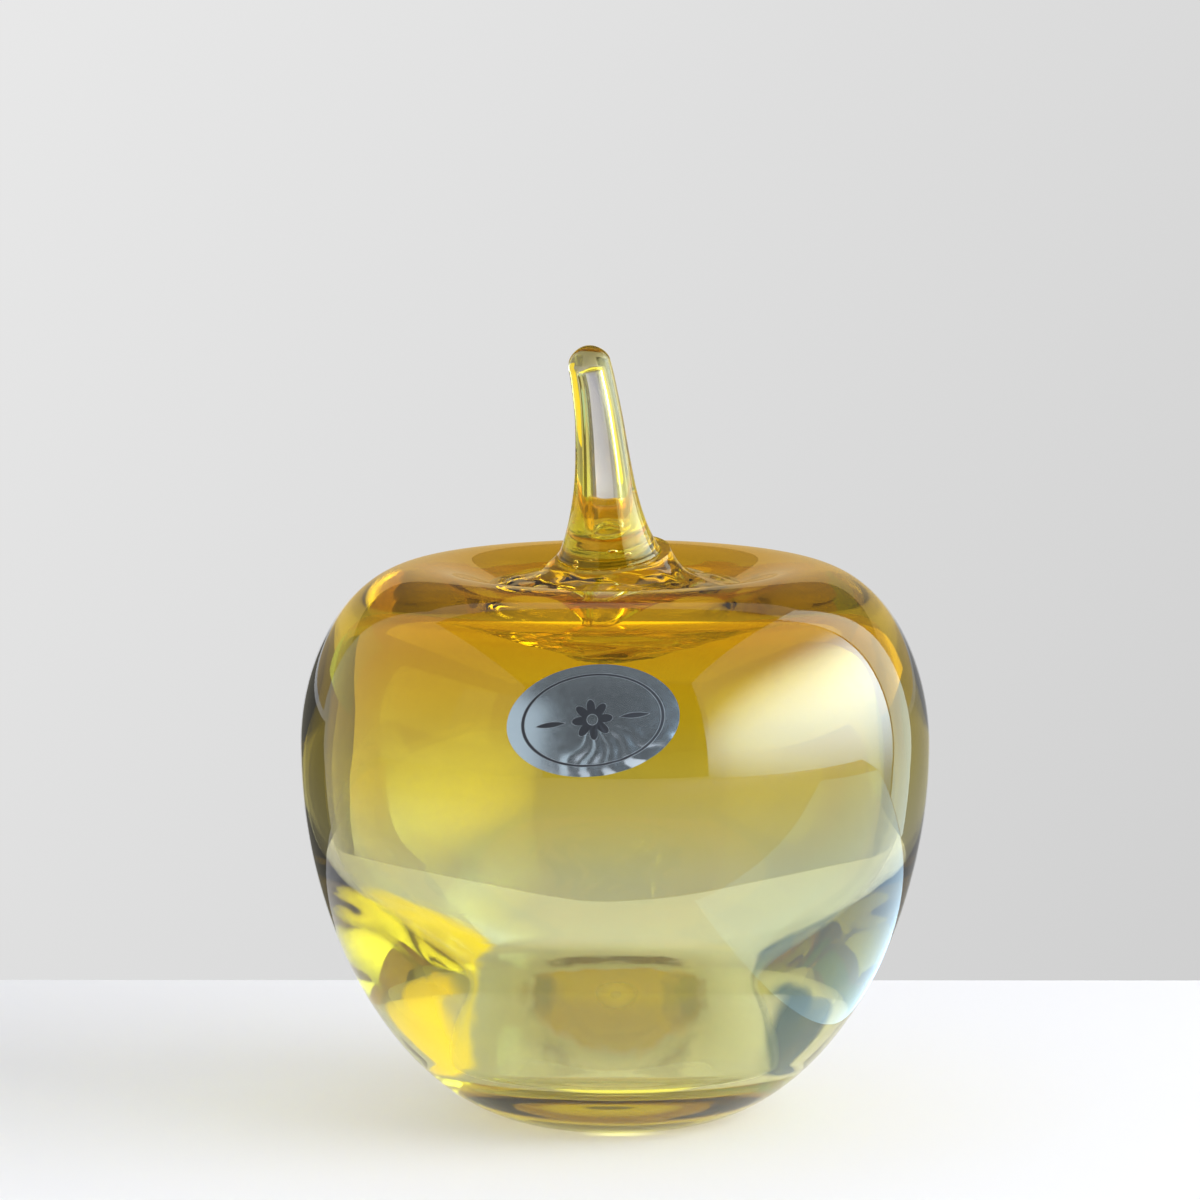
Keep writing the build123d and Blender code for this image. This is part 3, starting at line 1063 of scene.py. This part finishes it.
# Cards: name, centre, size, turn in degrees, strength, colour, whether glass shows it through itself, whether
# glass mirrors it, and for a card that isn't even, where it is hot
CARDS = (
    ("window", (0.8, -0.37, 0.485), (1.6, 1.47), (0, 0, 90), 13.2, (0.66, 0.84, 1.0), True, True, WINDOW_HOT),
    ("window_far", (0.8, 0.63, 0.485), (0.36, 1.47), (0, 0, 90), 2.4, (0.80, 0.97, 1.0), False, True),
    ("table_sheen", (0.23, 0.0, 0.001), (0.36, 0.21), (90, 0, 0), 2.6, (0.60, 0.82, 1.0), False, True),
    ("left_fill", (-1.2, -0.35, 0.22), (1.2, 0.84), (0, 0, -74), 2.2, (0.80, 0.95, 1.0), True, False),
    ("label_card", (-0.92, -0.92, 0.40), (0.9, 0.9), (0, 0, -45), 0.8, (0.86, 0.95, 1.0), False, True),
    ("front_flag", (0.0, -1.6, 0.9), (2.6, 2.2), (0, 0, 0), 0.08, WHITE, False, True),
    ("top_flag", (0.0, -0.6, 1.6), (2.6, 2.6), (90, 0, 0), 0.15, WHITE, False, True),
    ("back_flag", (0.0, 1.5, 1.35), (3.0, 1.4), (0, 0, 0), 0.12, WHITE, False, True),
    ("back_warm", (0.0, 1.5, 0.35), (3.0, 0.6), (0, 0, 0), 0.65, (1.0, 0.78, 0.44), False, True),
    ("left_flag", (-0.62, 1.0, -0.235), (0.75, 0.53), (0, 0, 30), 0.19, (1.0, 0.95, 0.78), True, True),
    ("right_flag", (0.62, 1.0, -0.235), (0.75, 0.53), (0, 0, -30), 0.38, (0.97, 0.97, 0.95), True, True),
    ("right_warm", (0.377, 0.328, 0.157), (0.27, 0.31), (0, 0, -49), 1.5, (1.0, 0.80, 0.06), True, False),
    ("left_cool", (-0.377, 0.328, 0.157), (0.27, 0.31), (0, 0, 49), 1.5, (0.44, 0.64, 1.0), True, False),
    ("top_warm", (0.0, 0.0, 0.9), (2.0, 2.0), (90, 0, 0), 2.0, (1.0, 0.97, 0.22), True, False),
)

# Patches on the table: name, centre, half sizes, turn in degrees, strength, colour, raggedness of the edge
PATCHES = (
    ("yellow_glow", (-0.0470, 0.022), (0.0195, 0.045), -6, 1.7, (1.0, 0.76, 0.03), 0.5),
    ("front_glow", (0.003, -0.0265), (0.019, 0.0105), 0, 1.6, (1.0, 0.93, 0.22), 0.3),
    ("blue_shade", (0.0455, 0.006), (0.0125, 0.026), 0, 0.42, (0.36, 0.56, 1.0), 0.5),
)


def add_table():
    """The white table, as a slab."""
    mesh = bpy.data.meshes.new("table")
    front = [(-TABLE_HALF, TABLE_FRONT), (TABLE_HALF, TABLE_FRONT)]
    back = [(TABLE_HALF, TABLE_BACK), (-TABLE_HALF, TABLE_BACK)]
    corners = [(x, y, z) for z in (-TABLE_THICK, -TABLE_GAP) for x, y in front + back]
    faces = [(3, 2, 1, 0), (4, 5, 6, 7), (0, 1, 5, 4), (1, 2, 6, 5), (2, 3, 7, 6), (3, 0, 4, 7)]
    mesh.from_pydata(corners, [], faces)
    material, sums = new_material("white_table")
    shader = sums.nodes["Principled BSDF"]
    shader.inputs["Base Color"].default_value = (*TABLE_COLOUR, 1.0)
    shader.inputs["Roughness"].default_value = 0.5
    shader.inputs["Specular IOR Level"].default_value = 0.0
    mesh.materials.append(material)
    table = add_object("table", mesh)


def glow_panel(name, corners, colour, strength):
    """A flat glowing panel that the camera doesn't see and that lights nothing."""
    mesh = bpy.data.meshes.new(name)
    mesh.from_pydata(corners, [], [(0, 1, 2, 3)])
    material, sums = new_material(name)
    sums.nodes.remove(sums.nodes["Principled BSDF"])
    glow = sums.nodes.new("ShaderNodeEmission")
    glow.inputs["Color"].default_value = (*colour, 1.0)
    glow.inputs["Strength"].default_value = strength
    mesh.materials.append(material)
    panel = add_object(name, mesh)
    panel.visible_camera = False
    panel.visible_diffuse = False
    panel.visible_shadow = False
    return panel, sums, glow


def card(name, centre, size, turn, strength, colour, seen_through, mirrored, hot=None):
    """A plain glowing card that only reflections and refractions see.

    A hot card is brightest at one place on it, and dimmer by a share at a reach across and up from there.
    """
    side, up = size[0] / 2, size[1] / 2
    corners = [(-side, 0, -up), (side, 0, -up), (side, 0, up), (-side, 0, up)]
    panel, sums, glow = glow_panel(name, corners, colour, strength)
    panel.location = centre
    panel.rotation_euler = [radians(angle) for angle in turn]
    sums.links.new(glow.outputs["Emission"], sums.nodes["Material Output"].inputs["Surface"])
    if hot:
        hot_x, hot_z, reach_x, reach_z, share = hot
        x, _, z = sums.axes(sums.nodes.new("ShaderNodeTexCoord").outputs["Object"])
        aside = sums.step("DIVIDE", sums.step("SUBTRACT", x, hot_x), reach_x)
        above = sums.step("DIVIDE", sums.step("SUBTRACT", z, hot_z), reach_z)
        fade = sums.ramp(sums.length(aside, above), 0.0, 1.0, strength, strength * share)
        sums.links.new(fade, glow.inputs["Strength"])
    panel.visible_transmission = seen_through
    panel.visible_glossy = mirrored


def table_patch(name, centre, half, turn, strength, colour, ragged):
    """A soft-edged patch of light or shade on the table, which only the glass above it shows."""
    side, back = PATCH_MARGIN * half[0], PATCH_MARGIN * half[1]
    corners = [(-side, -back, 0), (side, -back, 0), (side, back, 0), (-side, back, 0)]
    panel, sums, glow = glow_panel(name, corners, colour, strength)
    panel.location = (*centre, PATCH_LIFT)
    panel.rotation_euler = (0, 0, radians(turn))
    place = sums.nodes.new("ShaderNodeTexCoord").outputs["Object"]
    x, y, _ = sums.axes(place)
    reach = sums.length(sums.step("DIVIDE", x, half[0]), sums.step("DIVIDE", y, half[1]))
    uneven = sums.step("MULTIPLY_ADD", sums.grain(place, PATCH_GRAIN, 3.0), ragged, -ragged / 2)
    share = sums.ramp(sums.step("ADD", reach, uneven), *PATCH_FADE, 1.0, 0.0)
    clear = sums.nodes.new("ShaderNodeBsdfTransparent")
    blend = sums.nodes.new("ShaderNodeMixShader")
    sums.links.new(share, blend.inputs["Fac"])
    sums.links.new(clear.outputs["BSDF"], blend.inputs[1])
    sums.links.new(glow.outputs["Emission"], blend.inputs[2])
    sums.links.new(blend.outputs["Shader"], sums.nodes["Material Output"].inputs["Surface"])
    panel.visible_glossy = False


add_table()
for row in CARDS:
    card(*row)
for row in PATCHES:
    table_patch(*row)


def soft_lamp(name, place, aimed_at, size, energy, colour, seen_through=False):
    """A large soft lamp that no reflection shows."""
    data = bpy.data.lights.new(name, "AREA")
    data.shape = "RECTANGLE"
    data.size, data.size_y = size
    data.energy = energy
    data.color = colour
    lamp = add_object(name, data)
    lamp.location = place
    lamp.rotation_euler = (Vector(aimed_at) - Vector(place)).to_track_quat("-Z", "Y").to_euler()
    lamp.visible_camera = False
    lamp.visible_glossy = False
    lamp.visible_transmission = seen_through
    return lamp


def shine_through_glass(lamp):
    """Lets a lamp light the table through the clear glass, so that only the foil blocks it."""
    blockers = bpy.data.collections.new("blockers")
    blockers.objects.link(foil_label)
    lamp.light_linking.blocker_collection = blockers


soft_lamp("key_lamp", KEY_PLACE, KEY_AIM, KEY_SIZE, 9.5, KEY_COLOUR)
glow_lamp = soft_lamp("glow_lamp", KEY_PLACE, KEY_AIM, KEY_SIZE, 4.0, KEY_COLOUR)
shine_through_glass(glow_lamp)
fill_lamp = soft_lamp("fill_lamp", (-0.1, -0.2, 1.6), (0.0, 0.0, 0.0), (2.0, 2.0), 7.4, WHITE, True)
shine_through_glass(fill_lamp)

world = bpy.data.worlds.new("pale_wall")
bpy.context.scene.world = world
world.use_nodes = True
sums = Sums(world)
direction = sums.nodes.new("ShaderNodeTexCoord").outputs["Generated"]
slope = sums.nodes.new("ShaderNodeVectorMath")
slope.operation = "DOT_PRODUCT"
slope.inputs[1].default_value = WALL_SLOPE
sums.links.new(direction, slope.inputs[0])
level = sums.step("ADD", slope.outputs["Value"], WALL_LEVEL)
level = sums.step("MINIMUM", sums.step("MAXIMUM", level, WALL_RANGE[0]), WALL_RANGE[1])
fall = sums.ramp(sums.axes(direction)[2], *WALL_FALL)
sums.links.new(sums.step("MULTIPLY", level, fall), sums.nodes["Background"].inputs["Color"])
sums.nodes["Background"].inputs["Strength"].default_value = 1.0

scene = bpy.context.scene
scene.view_settings.view_transform = "Standard"
scene.cycles.max_bounces = 32
scene.cycles.transmission_bounces = 28
scene.cycles.glossy_bounces = 16
scene.cycles.use_denoising = True
scene.cycles.caustics_reflective = True
scene.cycles.caustics_refractive = True

# Camera, aimed so that the apple stands where the photo has it
CAMERA_DISTANCE = 1.10
CAMERA_RISE = radians(10.0)
AIM_RIGHT = -0.00244
AIM_UP = 0.0390
camera_data = bpy.data.cameras.new("camera")
camera_data.lens = 202.7
camera_data.sensor_width = 36.0
camera = add_object("camera", camera_data)
target = Vector((0.0, 0.0, 0.045))
camera.location = target + CAMERA_DISTANCE * Vector((0, -cos(CAMERA_RISE), sin(CAMERA_RISE)))
camera_up = Vector((0, sin(CAMERA_RISE), cos(CAMERA_RISE)))
aim = target + Vector((AIM_RIGHT, 0, 0)) + camera_up * AIM_UP
camera.rotation_euler = (aim - camera.location).to_track_quat("-Z", "Y").to_euler()
scene.camera = camera
